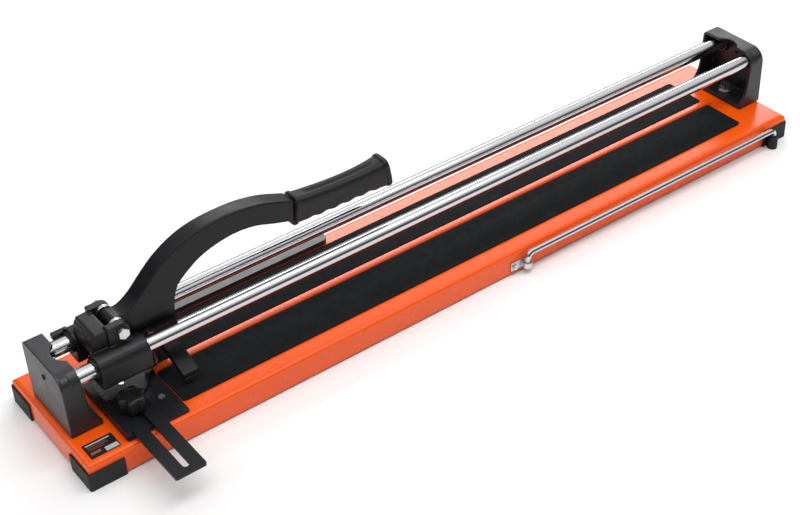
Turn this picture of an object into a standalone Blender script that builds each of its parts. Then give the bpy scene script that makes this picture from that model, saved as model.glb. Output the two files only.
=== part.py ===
"""Two-rail manual tile cutter: folded steel base, twin rails, scoring carriage and swivelling side fence.

The bench frame has X along the cut from the near end, Y across with 0 on the cutting line, and Z up from the
bench. Sizes are millimetres and MM turns them into metres. One root empty centres the object on the origin.
"""

import math

import bmesh
import bpy
from mathutils import Matrix, Vector

MM = 0.001
GAP = 0.3  # clearance between pieces that touch

# Base
BASE_LENGTH = 1240.0
BASE_WIDTH = 210.0
BASE_TOP = 39.6
BASE_FLANGE_BOTTOM = 3.5
BASE_SHEET = 2.0
BASE_BEND = 7.0
PAD_THICKNESS = 2.4
PAD_MARGIN = 27.0  # from a pad's outer edge to the base's edge
PAD_END_MARGIN = 74.0
RIB_WIDTH = 14.0
RIB_HEIGHT = 3.4
FOOT_LEG = 49.0
FOOT_WIDTH = 13.0
FOOT_HEIGHT = 28.0
FOOT_WALL = 2.3

# Rails and stands
RAIL_RADIUS = 11.0
RAIL_SPACING = 66.6
RAIL_HEIGHT = 115.6
STAND_TOP = 132.5
STAND_FRONT = 48.5
STAND_BACK = 57.0
STAND_WALL = 4.5
STAND_FLOOR = 5.0
STAND_FOOT_DEPTH = 45.0
STAND_TOP_DEPTH = 27.0
NEAR_STAND_X = 8.5
COLLAR_DEPTH = 9.0
COLLAR_RADIUS = RAIL_RADIUS + 4.0
SCALLOP_RADIUS = 21.0
STAND_BOLT_RADIUS = 5.0

# Carriage
CARRIAGE_START = 62.0
CARRIAGE_LENGTH = 70.0
HOUSING_HALF_WIDTH = RAIL_RADIUS + 6.0
HOUSING_RISE = RAIL_RADIUS + 8.0
HOUSING_DROP = RAIL_RADIUS + 15.0
BUSH_WALL = 3.5
BUSH_LENGTH = 16.0
BRIDGE_BACK = 71.0
BRIDGE_FRONT = 92.0
BRIDGE_TOP = 158.0
PIVOT_X = 107.0
PIVOT_Z = 150.0
EAR_RADIUS = 12.0
EAR_INNER = 19.0
EAR_THICKNESS = 11.0
PIVOT_BOLT_RADIUS = 5.0
WASHER_THICKNESS = 1.6
SPACER_THICKNESS = 4.6  # silver rings either side of the handle's hub
BOSS_RADIUS = 5.5

# Handle, wheel and breaker
ARM_WIDTH = RAIL_SPACING - 2 * (HOUSING_HALF_WIDTH + 1.5) - 3.6  # 1.8 clear of each housing
HUB_RADIUS = 11.5
GRIP_START = 380.0
TANG = 14.0
HOLDER_X = 150.0
HOLDER_SIZE = 13.0
HOLDER_TOP = 132.0
CLAMP_Z = 113.0
WHEEL_RADIUS = 11.0
WHEEL_THICKNESS = 3.2
WHEEL_AXLE_RADIUS = 2.5
BREAKER_X = 178.0
BREAKER_LENGTH = 24.0
BREAKER_SPAN = 116.0
BREAKER_PIN_Z = 106.0
BREAKER_PIN_RADIUS = 4.0
LUG_HALF = 6.0

# Side fence
PLATE_X = (61.0, 150.0)
PLATE_FRONT = 7.0 - BASE_WIDTH / 2
PLATE_BACK = 44.0
PLATE_THICKNESS = 3.0
DIAL_X = 105.0
DIAL_RADIUS = 36.0
DIAL_THICKNESS = 3.0
ARM_BLADE = (70.0, 114.0)
ARM_TIP = -200.0
ARM_HEEL = -26.0
ARM_THICKNESS = 4.6
SLOT_WIDTH = 9.0
SLOT_END_MARGIN = 10.0
STUD_Y = -58.0
STUD_RADIUS = 4.0
KNOB_RADIUS = 19.0
KNOB_HEIGHT = 21.0

# Swing-out supports
WIRE_RADIUS = 4.5
WIRE_Y = -(BASE_WIDTH / 2 + 11.0)
WIRE_PIVOT_Y = -(BASE_WIDTH / 2 + 7.5)
WIRE_Z = 32.0
WIRE_PIVOT_X = BASE_LENGTH / 2 + 77.0
WIRE_FOOT_X = BASE_LENGTH - 37.0
SUPPORT_FOOT_RADIUS = 7.8
SUPPORT_FOOT_HEIGHT = 23.0
BRACKET = (WIRE_PIVOT_X - 26.0, WIRE_PIVOT_X + 12.0)
BRACKET_Z = (9.0, 27.0)
RULE_X = (214.0, 488.0)
RULE_WIDTH = 20.0
RULE_THICKNESS = 8.5
LABEL = (4.0, 52.0, 2.0 - BASE_WIDTH / 2, 37.0 - BASE_WIDTH / 2)

HALF = BASE_WIDTH / 2
RAIL_Y = RAIL_SPACING / 2
DECK = BASE_TOP + GAP  # underside of whatever rests on the base
FAR_STAND_X = BASE_LENGTH - GAP
FOOT_OUT = FOOT_WALL + GAP
ROOT = Vector((-BASE_LENGTH / 2, (-ARM_TIP - HALF - FOOT_OUT) / 2, 0))

FINISHES = {
    "orange": ((0.83, 0.13, 0.02), 0.28, 0.0),
    "rubber": ((0.018, 0.019, 0.022), 0.8, 0.0),
    "black": ((0.02, 0.02, 0.024), 0.45, 0.0),
    "chrome": ((0.8, 0.8, 0.82), 0.08, 1.0),
    "zinc": ((0.62, 0.63, 0.65), 0.3, 1.0),
    "bronze": ((0.55, 0.38, 0.2), 0.35, 1.0),
}


def clear_scene():
    for old in list(bpy.data.objects):
        bpy.data.objects.remove(old, do_unlink=True)


def collection(name, hidden=False):
    made = bpy.data.collections.new(name)
    made.hide_render = hidden
    bpy.context.scene.collection.children.link(made)
    return made


clear_scene()
PARTS = collection("tile_cutter")
CUTTERS = collection("cutters", hidden=True)
anchors = {}


def anchor(name, place, parent=None):
    """An empty on a joint's axis. place is in the bench frame."""
    empty = bpy.data.objects.new(name, None)
    PARTS.objects.link(empty)
    anchors[name] = Vector(place)
    if parent:
        empty.parent = bpy.data.objects[parent]
        empty.location = (anchors[name] - anchors[parent]) * MM
    else:
        empty.location = ROOT * MM
    return name


def dress(obj, finish, parent):
    """Gives an object its own material and hangs it on an anchor, keeping its bench-frame place."""
    colour, roughness, metallic = FINISHES[finish]
    material = bpy.data.materials.new(obj.name)
    material.use_nodes = True
    shader = material.node_tree.nodes["Principled BSDF"]
    shader.inputs["Base Color"].default_value = (*colour, 1)
    shader.inputs["Roughness"].default_value = roughness
    shader.inputs["Metallic"].default_value = metallic
    obj.data.materials.append(material)
    obj.parent = bpy.data.objects[parent]
    obj.location -= anchors[parent] * MM
    return obj


def link(name, bm, place, cutter=False):
    mesh = bpy.data.meshes.new(name)
    bmesh.ops.recalc_face_normals(bm, faces=bm.faces)
    bm.to_mesh(mesh)
    bm.free()
    obj = bpy.data.objects.new(name, mesh)
    obj.location = Vector(place) * MM
    (CUTTERS if cutter else PARTS).objects.link(obj)
    if cutter:
        obj.hide_render = True
        obj.display_type = "WIRE"
        obj.parent = bpy.data.objects["bench"]
    return obj


def box(name, low, high, cutter=False):
    low, high = Vector(low), Vector(high)
    bm = bmesh.new()
    bmesh.ops.create_cube(bm, size=1)
    bmesh.ops.scale(bm, vec=(high - low) * MM, verts=bm.verts)
    return link(name, bm, (low + high) / 2, cutter)


AXES = {"x": Matrix.Rotation(math.pi / 2, 4, "Y"), "y": Matrix.Rotation(math.pi / 2, 4, "X"),
        "z": Matrix.Identity(4)}


def rod(name, radius, length, centre, axis="z", segments=32, cutter=False):
    """A cylinder about its centre."""
    bm = bmesh.new()
    bmesh.ops.create_cone(bm, cap_ends=True, segments=segments, radius1=radius * MM, radius2=radius * MM,
                          depth=length * MM)
    bmesh.ops.transform(bm, matrix=AXES[axis], verts=bm.verts)
    return link(name, bm, centre, cutter)


def ring(name, inner, outer, length, centre, axis="z", steps=32):
    """A washer or bush: a rectangular section turned by a Screw modifier about local Z."""
    half = length / 2
    section = [(inner, -half), (inner, half), (outer, half), (outer, -half)]
    return turned(name, section, centre, axis, steps, closed=True)


def turned(name, section, centre, axis="z", steps=32, closed=False):
    """A profile of (radius, height) points turned about local Z. It runs down its outer side."""
    bm = bmesh.new()
    points = [bm.verts.new((r * MM, 0, z * MM)) for r, z in section]
    for one, two in zip(points, points[1:] + points[:1] if closed else points[1:]):
        bm.edges.new((one, two))
    mesh = bpy.data.meshes.new(name)
    bm.to_mesh(mesh)
    bm.free()
    obj = bpy.data.objects.new(name, mesh)
    obj.location = Vector(centre) * MM
    obj.rotation_euler = AXES[axis].to_euler()
    PARTS.objects.link(obj)
    screw = obj.modifiers.new("turn", "SCREW")
    screw.steps = screw.render_steps = steps
    screw.use_merge_vertices = True
    screw.merge_threshold = 0.00001
    return obj


PLANES = {"xy": Matrix.Identity(4), "xz": AXES["y"],
          "yz": Matrix(((0, 0, 1, 0), (1, 0, 0, 0), (0, 1, 0, 0), (0, 0, 0, 1)))}


def slab(name, outlines, plane, low, high, cutter=False):
    """Flat outlines, first the edge and then any holes, extruded from low to high along the plane's normal."""
    curve = bpy.data.curves.new(name, "CURVE")
    curve.dimensions = "2D"
    curve.fill_mode = "BOTH"
    curve.extrude = abs(high - low) / 2 * MM
    for outline in outlines:
        spline = curve.splines.new("POLY")
        spline.points.add(len(outline) - 1)
        spline.use_cyclic_u = True
        for point, (u, v) in zip(spline.points, outline):
            point.co = (u * MM, v * MM, 0, 1)
    guide = bpy.data.objects.new(name + "_outline", curve)
    bpy.context.scene.collection.objects.link(guide)
    graph = bpy.context.evaluated_depsgraph_get()
    mesh = bpy.data.meshes.new_from_object(guide.evaluated_get(graph))
    bpy.data.objects.remove(guide)
    bm = bmesh.new()
    bm.from_mesh(mesh)
    bpy.data.meshes.remove(mesh)
    bmesh.ops.remove_doubles(bm, verts=bm.verts, dist=1e-6)
    bmesh.ops.transform(bm, matrix=PLANES[plane], verts=bm.verts)
    middle = (low + high) / 2
    place = {"xy": (0, 0, middle), "xz": (0, middle, 0), "yz": (middle, 0, 0)}[plane]
    return link(name, bm, place, cutter)


def arc(centre, radius, start, end, steps=8):
    """Points on an arc, angles in degrees."""
    angles = [math.radians(start + (end - start) * i / steps) for i in range(steps + 1)]
    return [(centre[0] + radius * math.cos(a), centre[1] + radius * math.sin(a)) for a in angles]


def rounded(low, high, radius, steps=4):
    """A rectangle with round corners."""
    (x0, y0), (x1, y1) = low, high
    corners = [((x1 - radius, y0 + radius), -90), ((x1 - radius, y1 - radius), 0),
               ((x0 + radius, y1 - radius), 90), ((x0 + radius, y0 + radius), 180)]
    return [point for centre, start in corners for point in arc(centre, radius, start, start + 90, steps)]


def smooth(points, steps=6):
    """A Catmull-Rom curve through the points."""
    path = []
    for i in range(len(points) - 1):
        p0, p1, p2, p3 = (Vector(points[max(0, min(len(points) - 1, j))]) for j in (i - 1, i, i + 1, i + 2))
        for s in range(steps):
            t = s / steps
            path.append((2 * p1 + (p2 - p0) * t + (2 * p0 - 5 * p1 + 4 * p2 - p3) * t ** 2
                         + (3 * p1 - p0 - 3 * p2 + p3) * t ** 3) / 2)
    return path + [Vector(points[-1])]


def boolean(obj, other, operation="DIFFERENCE"):
    modifier = obj.modifiers.new(operation.lower(), "BOOLEAN")
    modifier.operation = operation
    modifier.object = other
    return obj


def drill(obj, name, radius, length, centre, axis="z", segments=32):
    """Bores a round hole about centre."""
    return boolean(obj, rod(name, radius, length, centre, axis, segments, cutter=True))


def bevel(obj, width, segments=2, angle=40):
    modifier = obj.modifiers.new("edges", "BEVEL")
    modifier.width = width * MM
    modifier.segments = segments
    modifier.limit_method = "ANGLE"
    modifier.angle_limit = math.radians(angle)
    return obj


def headed_bolt(name, head_radius, head_height, shank_radius, shank_length, place, axis="z", head_sides=6):
    """A bolt with its head on place and its shank back along the axis. A negative height turns it round."""
    way = 1 if head_height > 0 else -1
    step = {"x": Vector((1, 0, 0)), "y": Vector((0, 1, 0)), "z": Vector((0, 0, 1))}[axis] * way
    place = Vector(place)
    head = rod(name, head_radius, abs(head_height), place + step * abs(head_height) / 2, axis, head_sides)
    shank = rod(name + "_shank", shank_radius, shank_length + 1, place - step * (shank_length - 1) / 2,
                axis, 20,
                cutter=True)
    return boolean(head, shank, "UNION")


# Anchors: one on each joint's axis
anchor("bench", (0, 0, 0))
anchor("carriage_origin", (CARRIAGE_START, 0, RAIL_HEIGHT), "bench")
anchor("handle_pivot", (PIVOT_X, 0, PIVOT_Z), "carriage_origin")
WHEEL_Z = BASE_TOP + RIB_HEIGHT + GAP + WHEEL_RADIUS + 0.5
anchor("wheel_pivot", (HOLDER_X, 0, WHEEL_Z), "handle_pivot")
anchor("breaker_pivot", (BREAKER_X, 0, BREAKER_PIN_Z), "handle_pivot")
anchor("fence_pivot", (DIAL_X, 0, DECK + PLATE_THICKNESS), "bench")
anchor("fence_stud_axis", ((ARM_BLADE[0] + ARM_BLADE[1]) / 2, STUD_Y, DECK), "fence_pivot")
anchor("support_pivot", (WIRE_PIVOT_X, WIRE_PIVOT_Y, WIRE_Z), "bench")
RULE_Y = HALF - 4 - RULE_WIDTH / 2
anchor("rule_pivot", (RULE_X[0] + RULE_WIDTH / 2, RULE_Y, DECK), "bench")


# Base
def base_plate():
    bm = bmesh.new()
    bmesh.ops.create_cube(bm, size=1)
    height = BASE_TOP - BASE_FLANGE_BOTTOM
    bmesh.ops.scale(bm, vec=Vector((BASE_LENGTH, BASE_WIDTH, height)) * MM, verts=bm.verts)
    bmesh.ops.delete(bm, geom=[f for f in bm.faces if f.normal.z < -0.5], context="FACES")
    folds = [e for e in bm.edges if all(v.co.z > 0 for v in e.verts)]
    bmesh.ops.bevel(bm, geom=folds, offset=BASE_BEND * MM, segments=6, affect="EDGES", profile=0.5)
    shell = link("base_plate", bm, (BASE_LENGTH / 2, 0, BASE_FLANGE_BOTTOM + height / 2))
    solid = shell.modifiers.new("sheet", "SOLIDIFY")
    solid.thickness = BASE_SHEET * MM
    solid.offset = -1
    solid.use_even_offset = True
    for tag, x, y, radius in HOLES:
        drill(shell, f"base_hole_{tag}", radius, 12, (x, y, BASE_TOP), segments=20)
    return dress(shell, "orange", "bench")


STAND_MIDDLE_Y = (STAND_BACK - STAND_FRONT) / 2
NEAR_BOLT_X = NEAR_STAND_X + STAND_FOOT_DEPTH / 2
FAR_BOLT_X = FAR_STAND_X - STAND_FOOT_DEPTH / 2
PLATE_SCREWS = ((134.0, -53.0), (134.0, 34.0))
RULE_SCREW_X = RULE_X[0] + RULE_WIDTH / 2
BOLT_HOLE = STAND_BOLT_RADIUS + GAP
HOLES = [("near_stand", NEAR_BOLT_X, STAND_MIDDLE_Y, BOLT_HOLE),
         ("far_stand", FAR_BOLT_X, STAND_MIDDLE_Y, BOLT_HOLE),
         ("plate_front", *PLATE_SCREWS[0], 2.8), ("plate_back", *PLATE_SCREWS[1], 2.8),
         ("rule", RULE_SCREW_X, RULE_Y, 3.3), ("fence_pin", DIAL_X, 0, 4.4)]
base_plate()

DECK_START = PLATE_X[1] + 2
DECK_END = BASE_LENGTH - PAD_END_MARGIN
dress(bevel(box("breaking_rib", (DECK_START, -RIB_WIDTH / 2, DECK),
                (DECK_END + 8, RIB_WIDTH / 2, DECK + RIB_HEIGHT)),
            1.2), "orange", "bench")
for tag, side in (("front", -1), ("rear", 1)):
    inner, outer = RIB_WIDTH / 2 + GAP * 2, HALF - PAD_MARGIN
    edges = sorted((side * inner, side * outer))
    pad = slab(f"{tag}_pad", [rounded((DECK_START, edges[0]), (DECK_END, edges[1]), 5)], "xy", DECK,
               DECK + PAD_THICKNESS)
    dress(pad, "rubber", "bench")
dress(slab("label_plate", [rounded((LABEL[0] + BASE_BEND, LABEL[2] + BASE_BEND), (LABEL[1], LABEL[3]),
                                   1.5)], "xy",
           DECK, DECK + 0.7), "black", "bench")


def corner_foot(name, end, side):
    """A rubber boot that wraps a base corner: an L with a slot for the flanges. end and side are 0 or 1."""
    leg, width = FOOT_LEG, FOOT_WIDTH

    def placed(points):
        return [(BASE_LENGTH * end + (1 - 2 * end) * x, HALF * (2 * side - 1) + (1 - 2 * side) * y) for x,
                y in points]

    out, inside, far = FOOT_OUT, BASE_SHEET + GAP, leg + 5
    body = (arc((3 - out, 3 - out), 3, 180, 270, 4)
            + [(leg, -out), (leg, width), (width, width), (width, leg), (-out, leg)])
    groove = [(-GAP, -GAP), (far, -GAP), (far, inside), (inside, inside), (inside, far), (-GAP, far)]
    foot = slab(name, [placed(body)], "xy", 0, FOOT_HEIGHT)
    slot = slab(name + "_slot", [placed(groove)], "xy", BASE_FLANGE_BOTTOM - GAP, FOOT_HEIGHT + 5,
                cutter=True)
    return dress(boolean(foot, slot), "rubber", "bench")


for end_name, end in (("near", 0), ("far", 1)):
    for side_name, side in (("front", 0), ("rear", 1)):
        corner_foot(f"{end_name}_{side_name}_foot", end, side)


# Stands and rails
def stand(name, outer_x, way):
    """A cast end stand, closed at outer_x and open towards the rails. way is the sense of inward along X."""
    deck = DECK
    back, front, top = STAND_BACK, -STAND_FRONT, STAND_TOP
    outline = ([(front, deck), (back, deck)] + arc((back - 8, top - 8), 8, 0, 90, 4)
               + arc((front + 22, top - 22), 22, 90, 180, 8))
    ends = sorted((outer_x, outer_x + way * STAND_FOOT_DEPTH))
    body = slab(name, [outline], "yz", *ends)

    def along(points):
        return [(outer_x + way * x, z) for x, z in points]

    flare = smooth([(STAND_TOP_DEPTH, top + 6), (STAND_TOP_DEPTH + 1.5, top - 30),
                    (STAND_TOP_DEPTH + 6, deck + 26),
                    (STAND_FOOT_DEPTH, deck + STAND_FLOOR + 2)], 4)
    waste = [tuple(p) for p in flare] + [(STAND_FOOT_DEPTH + 9, deck + STAND_FLOOR + 3),
                                         (STAND_FOOT_DEPTH + 9, top + 6)]
    boolean(body, slab(name + "_flare", [along(waste)], "xz", front - 5, back + 5, cutter=True))

    wall = STAND_WALL
    pocket = ([(front + wall, deck + STAND_FLOOR), (back - wall, deck + STAND_FLOOR)]
              + arc((back - 8, top - 8), 8 - wall, 0, 90, 3) + arc((front + 22, top - 22), 22 - wall, 90,
                                                                   180, 6))
    span = sorted((outer_x + way * wall, outer_x + way * (STAND_FOOT_DEPTH + 9)))
    boolean(body, slab(name + "_pocket", [pocket], "yz", *span, cutter=True))
    drill(body, name + "_scallop", SCALLOP_RADIUS, 30,
                      (outer_x + way * (STAND_TOP_DEPTH + 10), STAND_MIDDLE_Y, top))
    for tag, y in (("front", -RAIL_Y), ("rear", RAIL_Y)):
        start = wall - 1
        collar = rod(f"{name}_{tag}_collar", COLLAR_RADIUS, COLLAR_DEPTH + 1,
                     (outer_x + way * (start + (COLLAR_DEPTH + 1) / 2), y, RAIL_HEIGHT), "x", 32,
                     cutter=True)
        boolean(body, collar, "UNION")
        drill(body, f"{name}_{tag}_socket", RAIL_RADIUS + GAP, 40,
                          (outer_x + way * (wall + 20), y, RAIL_HEIGHT), "x", 48)
        drill(body, f"{name}_{tag}_tapping", 2.6, 12,
                          (outer_x + way * (wall + COLLAR_DEPTH / 2), y, RAIL_HEIGHT - RAIL_RADIUS - 3),
                          "z", 16)
    bolt_x = outer_x + way * STAND_FOOT_DEPTH / 2
    boolean(body, rod(name + "_bolt_hole", BOLT_HOLE, 20, (bolt_x, STAND_MIDDLE_Y, deck), cutter=True,
                      segments=20))
    drill(body, name + "_cap_hole", 2.2, 12, (outer_x, STAND_MIDDLE_Y, RAIL_HEIGHT - 9), "x", 16)
    dress(body, "black", "bench")

    floor = deck + STAND_FLOOR
    washer = ring(name + "_washer", BOLT_HOLE, 11, WASHER_THICKNESS,
                  (bolt_x, STAND_MIDDLE_Y, floor + GAP + WASHER_THICKNESS / 2), "z", 24)
    dress(washer, "zinc", "bench")
    seat = floor + 2 * GAP + WASHER_THICKNESS
    bolt = headed_bolt(name + "_bolt", 9.5, 8, STAND_BOLT_RADIUS, 18, (bolt_x, STAND_MIDDLE_Y, seat))
    dress(bolt, "zinc", "bench")
    cap = headed_bolt(name + "_cap_screw", 3.6, -way * 1.6, 1.9, 7,
                      (outer_x - way * GAP, STAND_MIDDLE_Y, RAIL_HEIGHT - 9), "x", 20)
    dress(cap, "black", "bench")
    for tag, y in (("front", -RAIL_Y), ("rear", RAIL_Y)):
        pin_top = RAIL_HEIGHT - RAIL_RADIUS - GAP
        screw = rod(f"{name}_{tag}_set_screw", 2.3, 5,
                    (outer_x + way * (wall + COLLAR_DEPTH / 2), y, pin_top - 2.5), "z", 16)
        dress(screw, "zinc", "bench")


stand("near_stand", NEAR_STAND_X, 1)
stand("far_stand", FAR_STAND_X, -1)
RAIL_ENDS = (NEAR_STAND_X + STAND_WALL + GAP, FAR_STAND_X - STAND_WALL - GAP)
for tag, y in (("front", -RAIL_Y), ("rear", RAIL_Y)):
    rail = rod(f"{tag}_rail", RAIL_RADIUS, RAIL_ENDS[1] - RAIL_ENDS[0],
               (sum(RAIL_ENDS) / 2, y, RAIL_HEIGHT), "x", 48)
    dress(bevel(rail, 0.8, 1, 60), "chrome", "bench")


# Carriage
def carriage():
    x0, x1 = CARRIAGE_START, CARRIAGE_START + CARRIAGE_LENGTH
    body = box("carriage_body", (BRIDGE_BACK, -EAR_INNER - 7, RAIL_HEIGHT - 6),
               (BRIDGE_FRONT, EAR_INNER + 7, BRIDGE_TOP))
    bevel(body, 2, 1)
    for tag, side in (("front", -1), ("rear", 1)):
        y = side * RAIL_Y
        w, up, down = HOUSING_HALF_WIDTH + 1.5, HOUSING_RISE, HOUSING_DROP
        outline = (arc((y + w - 7, RAIL_HEIGHT - down + 7), 7, -90, 0, 3)
                   + arc((y, RAIL_HEIGHT), up, 0, 180, 14)[1:-1]
                   + arc((y - w + 7, RAIL_HEIGHT - down + 7), 7, 180, 270, 3))
        boolean(body, slab(f"housing_{tag}", [outline], "yz", x0, x1, cutter=True), "UNION")
        ear = ([(BRIDGE_FRONT - 4, RAIL_HEIGHT + 2), (PIVOT_X + EAR_RADIUS, RAIL_HEIGHT + 2)]
               + arc((PIVOT_X, PIVOT_Z), EAR_RADIUS, 0, 90, 6) + [(BRIDGE_FRONT - 4, PIVOT_Z + EAR_RADIUS)])
        span = sorted((side * EAR_INNER, side * (EAR_INNER + EAR_THICKNESS)))
        boolean(body, slab(f"ear_{tag}", [ear], "xz", *span, cutter=True), "UNION")
    boolean(body, rod("boss", BOSS_RADIUS, 22,
                      (x0 - 5, RAIL_Y + RAIL_RADIUS + BOSS_RADIUS + 1.5, RAIL_HEIGHT + 5), "x", 24,
                      cutter=True), "UNION")
    for tag, side in (("front", -1), ("rear", 1)):
        y = side * RAIL_Y
        middle = (x0 + x1) / 2
        drill(body, f"housing_bore_{tag}", RAIL_RADIUS + GAP + BUSH_WALL + GAP, CARRIAGE_LENGTH + 10,
                          (middle, y, RAIL_HEIGHT), "x", 40)
    drill(body, "pivot_bore", PIVOT_BOLT_RADIUS + GAP, 90, (PIVOT_X, 0, PIVOT_Z), "y", 24)
    dress(body, "black", "carriage_origin")
    for tag, side in (("front", -1), ("rear", 1)):
        for end, x in (("near", x0 + BUSH_LENGTH / 2), ("far", x1 - BUSH_LENGTH / 2)):
            bush = ring(f"{tag}_{end}_bush", RAIL_RADIUS + GAP, RAIL_RADIUS + GAP + BUSH_WALL, BUSH_LENGTH,
                        (x, side * RAIL_Y, RAIL_HEIGHT), "x", 32)
            dress(bush, "bronze", "carriage_origin")


carriage()
EAR_OUTER = EAR_INNER + EAR_THICKNESS
BOLT_SEAT = EAR_OUTER + GAP
NUT_INNER = EAR_OUTER + GAP
dress(headed_bolt("pivot_bolt", 8, -6.5, PIVOT_BOLT_RADIUS, 2 * BOLT_SEAT + 9,
                  (PIVOT_X, -BOLT_SEAT, PIVOT_Z), "y"),
      "zinc", "carriage_origin")
nut = rod("pivot_nut", 8, 7, (PIVOT_X, NUT_INNER + 3.5, PIVOT_Z), "y", 6)
drill(nut, "nut_bore", PIVOT_BOLT_RADIUS + GAP, 20, (PIVOT_X, NUT_INNER + 3.5, PIVOT_Z), "y", 24)
dress(nut, "zinc", "carriage_origin")
SPACER_Y = EAR_INNER - GAP - SPACER_THICKNESS / 2
for tag, side in (("front", -1), ("rear", 1)):
    washer = ring(f"{tag}_pivot_washer", PIVOT_BOLT_RADIUS + GAP, HUB_RADIUS + 0.3, SPACER_THICKNESS,
                  (PIVOT_X, side * SPACER_Y, PIVOT_Z), "y", 28)
    dress(washer, "zinc", "carriage_origin")
    stop_ring = ring(f"{tag}_rail_wiper", RAIL_RADIUS + GAP, RAIL_RADIUS + GAP + BUSH_WALL - 0.6, 3,
                     (CARRIAGE_START - GAP - 1.5, side * RAIL_Y, RAIL_HEIGHT), "x", 32)
    dress(stop_ring, "rubber", "carriage_origin")


# Handle
def handle_arm():
    half = ARM_WIDTH / 2
    top = smooth([(PIVOT_X - 3, PIVOT_Z + HUB_RADIUS - 1), (122, 160), (141, 171.5), (162, 192), (182, 209),
                  (206, 223),
                  (232, 232), (262, 236), (300, 236), (340, 229), (GRIP_START, 214)], 3)
    below = smooth([(GRIP_START, 182), (350, 191), (320, 201), (290, 204), (260, 200), (235, 191.5),
                    (214, 178),
                    (200, 165), (193, 148), (190.5, 128), (190, 108)], 3)
    outline = ([tuple(p) for p in top] + [tuple(p) for p in below]
               + [(190, 98), (165, 98), (HOLDER_X - 12, 102), (125, 118),
                  (PIVOT_X + 4, PIVOT_Z - HUB_RADIUS + 1)])
    arm = bevel(slab("handle_arm", [outline], "xz", -half, half), 4, 3)
    hub_half = EAR_INNER - 2 * GAP - SPACER_THICKNESS
    boolean(arm, rod("hub", HUB_RADIUS - 0.5, 2 * hub_half, (PIVOT_X, 0, PIVOT_Z), "y", 32, cutter=True),
            "UNION")
    tang = box("tang", (GRIP_START - 8, -TANG / 2, 198 - TANG / 2 - 4),
               (GRIP_START + 112, TANG / 2, 198 + TANG / 2 - 4),
               cutter=True)
    tang.rotation_euler = (0, math.radians(5), 0)
    boolean(arm, tang, "UNION")
    drill(arm, "hub_bore", PIVOT_BOLT_RADIUS + GAP, 60, (PIVOT_X, 0, PIVOT_Z), "y", 24)
    reach = HOLDER_SIZE / 2 + GAP
    boolean(arm, box("holder_socket", (HOLDER_X - reach, -reach, 90),
                     (HOLDER_X + reach, reach, HOLDER_TOP + GAP),
                     cutter=True))
    drill(arm, "clamp_tapping", 2.8, 20, (HOLDER_X, -half, CLAMP_Z), "y", 16)
    slot = BREAKER_LENGTH / 2 + 2
    boolean(arm, box("breaker_slot", (BREAKER_X - slot, -LUG_HALF - GAP, 90),
                     (BREAKER_X + slot + 9, LUG_HALF + GAP, 113),
                     cutter=True))
    drill(arm, "breaker_bore", BREAKER_PIN_RADIUS + GAP, 60, (BREAKER_X, 0, BREAKER_PIN_Z), "y", 24)
    return dress(arm, "black", "handle_pivot")


handle_arm()


def handle_grip():
    """A hand grip lofted through oval sections along the arm's end, with a socket for the tang."""
    sections = smooth([(GRIP_START + GAP, 194.5, 21.5, 17), (GRIP_START + 5, 194, 21.5, 17),
                       (390, 192.5, 19.5, 15.8),
                       (420, 187.5, 18, 15), (455, 183, 17, 14.6), (490, 181.5, 17.2, 14.8),
                       (512, 183.5, 19, 15.6),
                       (527, 186, 21, 16.4), (534, 187, 22, 17), (539, 187.5, 21.5, 16.6)], 2)
    bm = bmesh.new()
    loops = []
    for x, z, tall, wide in sections:
        lean = math.radians(-8 if x < 460 else 8)
        loop = []
        for i in range(24):
            a = 2 * math.pi * (i + 0.5) / 24
            y = wide * math.copysign(abs(math.cos(a)) ** 0.55, math.cos(a))
            up = tall * math.copysign(abs(math.sin(a)) ** 0.55, math.sin(a))
            loop.append(bm.verts.new(Vector((x - up * math.sin(lean) * (x > 400), y, z + up)) * MM))
        loops.append(loop)
    for one, two in zip(loops, loops[1:]):
        for i in range(24):
            bm.faces.new((one[i], one[(i + 1) % 24], two[(i + 1) % 24], two[i]))
    bm.faces.new(loops[0])
    bm.faces.new(loops[-1])
    grip = link("handle_grip", bm, (0, 0, 0))
    socket = box("tang_socket", (GRIP_START - 20, -TANG / 2 - GAP, 198 - TANG / 2 - 4 - GAP),
                 (GRIP_START + 124, TANG / 2 + GAP, 198 + TANG / 2 - 4 + GAP), cutter=True)
    socket.rotation_euler = (0, math.radians(5), 0)
    return dress(boolean(grip, socket), "rubber", "handle_pivot")


handle_grip()

# Wheel holder and wheel
half_holder = HOLDER_SIZE / 2
holder = bevel(box("wheel_holder", (HOLDER_X - half_holder, -half_holder, WHEEL_Z - 5),
                   (HOLDER_X + half_holder, half_holder, HOLDER_TOP)), 1, 1)
FORK = WHEEL_THICKNESS / 2 + GAP + 0.2
boolean(holder, box("fork_slot", (HOLDER_X - 20, -FORK, WHEEL_Z - 20),
                    (HOLDER_X + 20, FORK, WHEEL_Z + WHEEL_RADIUS + 2),
                    cutter=True))
drill(holder, "axle_bore", WHEEL_AXLE_RADIUS + GAP, 40, (HOLDER_X, 0, WHEEL_Z), "y", 20)
dress(holder, "zinc", "handle_pivot")
dress(rod("wheel_axle", WHEEL_AXLE_RADIUS, HOLDER_SIZE + 1, (HOLDER_X, 0, WHEEL_Z), "y", 20), "zinc",
      "handle_pivot")
rim = WHEEL_THICKNESS / 2
bore = WHEEL_AXLE_RADIUS + GAP
wheel = turned("cutting_wheel", [(bore, -rim), (bore, rim), (WHEEL_RADIUS - 2.6, rim), (WHEEL_RADIUS, 0),
                                 (WHEEL_RADIUS - 2.6, -rim)], (HOLDER_X, 0, WHEEL_Z), "y", 36, closed=True)
dress(wheel, "zinc", "wheel_pivot")
CLAMP_SEAT = -(ARM_WIDTH / 2 + GAP)
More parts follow.
